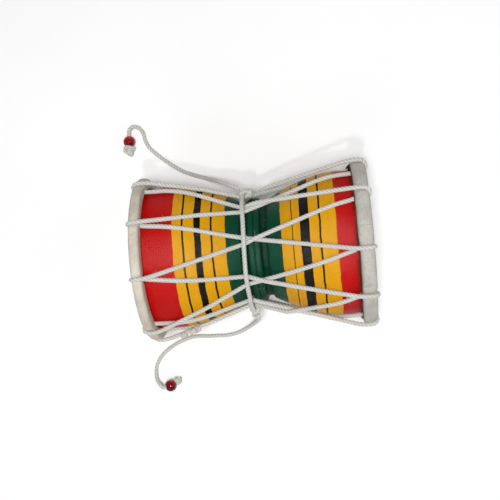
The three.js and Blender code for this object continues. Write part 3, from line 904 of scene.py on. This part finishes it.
# Where the right rim's ragged edge hangs down as a flap: polar angle, reach and spread
FLAPS = [(90, 2.4, 4.5), (-93, 2.0, 5.0), (150, 0.9, 8.0), (-150, 0.8, 9.0)]


def bell(distance, spread):
    return np.exp(-0.5 * (distance / spread) ** 2)


def degrees_from(middle, angle):
    return (angle - middle + 180) % 360 - 180


def roll_outline(width, squareness):
    """The rolled rim from its crest over its top to its inner edge, as (depth behind the crest, radius)."""
    turn = np.linspace(-88, 88, 34)
    across = np.sign(turn) * np.abs(np.sin(np.radians(turn))) ** (2 / squareness)
    up = np.cos(np.radians(turn)) ** (2 / squareness)
    return np.column_stack([width / 2 * (1 + across), ROLL_FOOT + (RIM - 0.05 - ROLL_FOOT) * up])


def head_outline(side):
    """A head's section from the middle of its face over the rim and back inside, as (depth, radius), and
    what kind each point is."""
    width = RIM_WIDTH[side]
    if side > 0:
        roll = roll_outline(width - 0.2, 2.5)
        lip = [(-0.1, 51.5), (0.35, 51.2), (0.6, 50.8), (0.5, 50.4), (-0.6, 50.4)]
    else:
        roll = roll_outline(width - 0.9, 3.0)
        lip = [(-0.85, 50.4), (-0.8, 49.3), (-0.75, 48.3), (-0.8, 47.7), (-1.8, 47.6)]
    face = [(FRONT, r) for r in (*np.linspace(0.5, 44, 16), *np.linspace(45.2, 50.8, 10))]
    lip = [(width + beyond, r) for beyond, r in lip]
    back = [(width / 2, 50.5), (2.4, 50.4), (1.6, 50.1)]
    back += [(INSIDE, r) for r in (49.5, 46, 40, 30, 20, 10, 0.5)]
    stretches = (face, roll.tolist(), lip, back)
    kinds = np.repeat([FACE, ROLL, LIP, BACK], [len(stretch) for stretch in stretches])
    return np.array([point for stretch in stretches for point in stretch]), kinds


def creases(rng, side, angle, depth):
    """How far the roll is sunk in the creases that run across it where the hide is gathered."""
    width = RIM_WIDTH[side]
    sink = np.zeros_like(depth)
    for _ in range(56 if side > 0 else 30):
        at, deep, wide = rng.uniform(0, 360), rng.uniform(0.08, 0.36), rng.uniform(0.4, 1.2)
        slant = rng.normal(0, 0.35)
        share = rng.uniform(0.2, 1.0)
        gap = np.radians(degrees_from(at, angle)) * RIM + slant * (depth - width / 2)
        sink += deep * bell(gap, wide) * np.clip(1.2 - np.abs(depth / width - share), 0, 1)
    return sink


def rope_marks(flat, angle, radius, holes):
    """How far the rope presses into the roll, how near the holes are, for the shade painted round them, and
    how far the skin puckers there.
    """
    press, hole, pucker = (np.zeros_like(radius) for _ in range(3))
    for over, under in holes:
        gap = np.radians(degrees_from(over, angle)) * RIM
        press += 0.75 * bell(gap, 1.4) - 0.3 * bell(np.abs(gap) - 2.9, 0.9)
        _, y, z = polar(0, CHANNEL, under)
        hole = np.maximum(hole, bell(np.hypot(flat[..., 1] - y, flat[..., 2] - z), 1.6))
        beside = np.hypot(gap, np.clip(CHANNEL - radius, 0, None))
        pucker += 0.5 * bell(beside, 1.6) * (radius < ROLL_FOOT + 2)
    return press, hole, pucker


def ragged_lip(seed, flat, angle, wander, lower):
    """How far the right lip's cut edge reaches further out and how far it hangs down."""
    ragged = Ripple(seed + 4, 1.1, 16)(flat) * 0.45 + Ripple(seed + 5, 3.5, 12)(flat) * 0.35
    flap = sum(reach * bell(degrees_from(middle, angle), spread) for middle, reach, spread in FLAPS)
    return wander * 0.6 + ragged * lower + flap * lower, flap * lower * 0.9


def lifted_lip(angle, radius, holes):
    """The left lip's radius, lifted where the rope passes under it."""
    passing = np.zeros_like(radius)
    for _, under in holes:
        gap = np.radians(degrees_from(under, angle)) * CHANNEL
        passing = np.maximum(passing, np.clip(3.2 - np.abs(gap), 0, 1))
    return np.maximum(radius, radius + passing * (LIP_LIFT - radius))


def make_head(name, side, holes, material, seed):
    right = side > 0
    width = RIM_WIDTH[side]
    outline, kinds = head_outline(side)
    kinds = kinds[:, None]
    on_face, on_roll, on_lip = kinds == FACE, kinds == ROLL, kinds == LIP
    around = np.linspace(0, 360, HEAD_COLUMNS, endpoint=False)
    depth = np.repeat(outline[:, 0][:, None], HEAD_COLUMNS, axis=1)
    radius = np.repeat(outline[:, 1][:, None], HEAD_COLUMNS, axis=1)
    angle = np.repeat(around[None, :], len(outline), axis=0)
    flat = polar(side * (CREST - depth), radius, angle)
    lumps, small, widths = Ripple(seed, 7.5, 14), Ripple(seed + 1, 2.6, 14), Ripple(seed + 2, 10.0, 12)
    rng = np.random.default_rng(seed + 3)
    # The rolled edge wanders, more on the wider rim, and its cut edge is ragged
    inner_share = np.clip((depth - 1.5) / (width - 2.5), 0, 1) * on_roll
    wander = widths(flat) * (0.55 if right else 0.25) + small(flat) * (0.3 if right else 0.15)
    depth = depth + inner_share * wander
    if right:
        lower = np.clip((51.6 - radius) / 1.2, 0, 1)
        further, down = ragged_lip(seed, flat, angle, wander, lower)
        depth, radius = depth + on_lip * further, radius - on_lip * down
    else:
        radius = np.where(on_lip, lifted_lip(angle, radius, holes), radius)
    press, hole, pucker = rope_marks(flat, angle, radius, holes)
    sink = 0.12 * (1 + lumps(flat)) + (0.16 if right else 0.07) * (1 + small(flat))
    sink += creases(rng, side, angle, depth) + press
    radius = radius - on_roll * np.clip((radius - ROLL_FOOT) / 1.5, 0, 1) * np.maximum(sink, 0.0)
    # The skin's face is drawn in at the holes and has faint waves between them
    front = on_face | (on_roll & (depth < width / 3))
    tension = 0.1 * np.sin(np.radians(angle) * 18 + 1.3) * np.clip((radius - 30) / 20, 0, 1) ** 2
    depth = depth + front * (pucker + on_face * (tension + 0.06 * (1 + lumps(flat))))
    points = polar(side * (CREST - depth), radius, angle)
    points[..., 2] = np.maximum(points[..., 2], FLOOR_Z)
    count = points[..., 0].size
    faces = grid_faces(len(outline), HEAD_COLUMNS)
    for j in range(HEAD_COLUMNS):
        k = (j + 1) % HEAD_COLUMNS
        last = count - HEAD_COLUMNS
        faces += [(k, j, count), (last + j, last + k, count + 1)]
    faces = faces if right else [face[::-1] for face in faces]
    centres = np.array([[side * (CREST - FRONT), 0, 0], [side * (CREST - INSIDE), 0, 0]])
    hidden = np.broadcast_to(np.where(kinds == BACK, 1.0, np.where(on_lip, 0.8, 0.0)), radius.shape)
    return mesh_piece(
        name, np.concatenate([points.reshape(-1, 3), centres]), faces, material,
        {"hole": np.append(hole, [0, 0]), "turned_under": np.append(hidden, [0, 1])},
    )


for name, node, side, holes, material, seed in (
    ("left_hide", "left_head", -1, LEFT, left_hide, 41),
    ("right_hide", "right_head", 1, RIGHT, right_hide, 57),
):
    head = make_head(name, side, holes, material, seed)
    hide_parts(node)
    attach(head, "root")


# Strikers: a cord lying beside the drum, with a bead and a knot on its end
def route_line(route):
    return spline([(x, y, z - MIDDLE[2]) for x, y, z in route])


UPPER_ROUTE = [
    (-8.6, 41.5, 52), (-13.2, 44.3, 50.4), (-17.6, 46.4, 46), (-23.1, 49.1, 38.3), (-28.4, 51.4, 29.1),
    (-34.2, 53.9, 19.9), (-39.9, 56.3, 12), (-45.3, 58.5, 6.2), (-50.2, 60.6, 3), (-54.3, 62.7, 1.8),
    (-57.6, 64.8, 1.6), (-63.2, 68.9, 1.6), (-68.8, 73.5, 1.6), (-73.8, 78, 1.6), (-78.1, 83, 1.6),
    (-80.3, 88.2, 1.6), (-81.2, 93.1, 1.8), (-83.8, 97.1, 2.4), (-87.9, 98.8, 3.2), (-91, 96.6, 4),
]
LOWER_ROUTE = [
    (-3.6, -43.6, 50), (-3.7, -46, 46), (-4.7, -47.8, 38.8), (-6.6, -49.6, 28.6), (-9.4, -51.8, 17.3),
    (-13.4, -54.6, 7.6), (-18.6, -57.4, 2.6), (-25, -59.8, 1.6), (-32.5, -60.8, 1.6), (-39.1, -60.5, 1.6),
    (-45.7, -60.4, 1.6), (-52.4, -59.9, 1.6), (-58.4, -60.2, 1.6), (-64.6, -62, 1.6), (-70.2, -64.2, 1.6),
    (-75.8, -67.4, 1.6), (-80.9, -71.3, 1.6), (-84.7, -76.1, 1.6), (-86.8, -81, 1.8), (-87, -86, 3),
    (-85.8, -90.4, 5.4),
]
BEAD = 4.34  # radius
BORE = 1.9  # radius of its bore
HALF_BORE = math.sqrt(BEAD ** 2 - BORE ** 2)
KNOT_CORD = 1.4  # radius of the cord where it is pulled tight in a knot


def rotation_to(direction):
    return np.array(Vector((0, 0, 1)).rotation_difference(Vector(direction)).to_matrix())


def make_bead(name, centre, direction, painted_glow):
    """A bead with its bore, a hair flatter along it. Its `lit` is painted light, brighter towards +Y and
    upwards, scaled by `painted_glow`.
    """
    edge = math.atan2(HALF_BORE, BORE)
    outline = [(BEAD * math.cos(a), BEAD * math.sin(a) * 0.995) for a in np.linspace(-edge, edge, 26)]
    inside = BORE - 0.1
    bore = [(inside + 0.05, HALF_BORE - 0.3), (inside, HALF_BORE / 2), (inside, 0)]
    bore += [(inside, -HALF_BORE / 2), (inside + 0.05, -HALF_BORE + 0.3)]
    outline = np.array(outline + bore)
    columns = 48
    turn = np.linspace(0, 2 * np.pi, columns, endpoint=False)
    points = np.stack([
        outline[:, 0][:, None] * np.cos(turn), outline[:, 0][:, None] * np.sin(turn),
        np.repeat(outline[:, 1][:, None], columns, axis=1),
    ], axis=-1).reshape(-1, 3)
    faces = [f[::-1] for f in grid_faces(len(outline), columns, wrap_rows=True)]
    points = points @ rotation_to(direction).T
    # Painted light, brighter towards +Y and upwards
    lit = np.clip(0.35 + points @ np.array([0.05, 0.9, 0.3]) / BEAD * 0.75, 0, 1) * painted_glow
    return mesh_piece(name, points + centre, faces, bead_red, {"lit": lit})


def make_end_knot(name, centre, direction, size, seed):
    """A knot pulled tight in the cord's end: its loops, a turn next to the bead, and the frayed end."""
    cords = Rope(seed)
    up = np.array([0.0, 0.0, 1.0])
    facing = np.asarray(direction) * 0.55 + up
    t = np.linspace(0, 2 * np.pi, 90)[:-1]
    x, y = np.sin(t) + 2 * np.sin(2 * t), np.cos(t) - 2 * np.cos(2 * t)
    loop = np.stack([x, y, -1.5 * np.sin(3 * t)], axis=1)
    loop = come_round(loop * (size - KNOT_CORD) / 3.0 @ rotation_to(facing).T + centre)
    cords.line(loop, step=0.5, radius=KNOT_CORD, closed=True, fibres=3.5, frays=False)
    # The turn next to the bead is narrower, so the lump is pear-shaped
    ring = np.stack([np.cos(t), np.sin(t), 0.25 * np.sin(2 * t)], axis=1) * (size * 0.42)
    near = centre - np.asarray(direction) * size * 0.5
    ring = come_round(ring @ rotation_to(direction).T + near)
    cords.line(ring, step=0.5, radius=KNOT_CORD, closed=True, fibres=3.0, frays=False)
    side = np.cross(direction, up)
    side /= np.linalg.norm(side)
    end = spline([
        centre - side * size * 0.25, centre + np.asarray(direction) * size * 0.3,
        centre + np.asarray(direction) * size * 0.45 + side * size * 0.4,
    ])
    cords.line(end, step=0.4, radius=1.45, fibres=9.0, frays=False)
    return cords.piece(name)


for word, route, bead, bore, knot, size, painted_glow, seed in (
    ("upper", UPPER_ROUTE, (-91.7, 87.8, 4.7), (-0.02, -0.98, 0.1), (-91.9, 81.2, 5.6), 4.75, 1.0, 71),
    ("lower", LOWER_ROUTE, (-76.3, -94, 6.3), (0.88, 0.14, -0.4), (-71.0, -91.0, 3.7), 3.4, 0.6, 83),
):
    down = np.array([0, 0, MIDDLE[2]])
    centre, knot_centre = np.array(bead) - down, np.array(knot) - down
    bore = np.array(bore) / np.linalg.norm(bore)
    threaded = [centre + bore * d for d in (-HALF_BORE - 1.5, -HALF_BORE, HALF_BORE - 1)]
    path = spline([*(np.array(route) - down), *threaded])
    cords = Rope(seed)
    cords.line(path, step=0.8, fibres=0.8, taper=0.8, frays=False)
    cord = cords.piece(f"{word}_cord")
    bead_piece = make_bead(f"{word}_bead", centre, bore, painted_glow)
    knot_piece = make_end_knot(f"{word}_knot", knot_centre, bore, size, seed + 2)
    for piece, node in ((cord, "cord"), (bead_piece, "bead"), (knot_piece, "knot")):
        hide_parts(f"{word}_striker_{node}")
        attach(piece, "root")


# Floor and light
def floor_material():
    n = Nodes("floor")
    at = n.node("TexCoord").outputs["Object"]
    cloud = n.noise(at, 3.0, 3)
    return n.finish(Base_Color=n.ramp(cloud, [(0.3, 0.86), (0.7, 0.9)]), Roughness=0.9)


floor_mesh = bpy.data.meshes.new("floor")
floor_mesh.from_pydata([(-3, -3, 0), (3, -3, 0), (3, 3, 0), (-3, 3, 0)], [], [(0, 1, 2, 3)])
floor_mesh.materials.append(floor_material())
floor = bpy.data.objects.new("floor", floor_mesh)
bpy.context.scene.collection.objects.link(floor)


def softbox(name, place, size, watts):
    """A round soft light that points at the drum."""
    data = bpy.data.lights.new(name, "AREA")
    data.shape = "DISK"
    data.size = size
    data.energy = watts
    light = bpy.data.objects.new(name, data)
    light.location = place
    light.rotation_euler = (-Vector(place)).to_track_quat("-Z", "Y").to_euler()
    bpy.context.scene.collection.objects.link(light)


softbox("key", (0.03, -0.02, 1.1), 0.2, 8.6)
softbox("spark", (0.03, -0.25, 1.07), 0.05, 2.0)
softbox("fill", (-0.4, -0.9, 0.9), 1.0, 2.2)
softbox("edge", (0.8, -0.1, 0.9), 0.8, 1.6)

world = bpy.data.worlds.new("studio")
world.use_nodes = True
background = world.node_tree.nodes["Background"]
background.inputs["Color"].default_value = (0.97, 0.98, 1.0, 1)
background.inputs["Strength"].default_value = 0.2
bpy.context.scene.world = world
bpy.context.scene.view_settings.view_transform = "Standard"
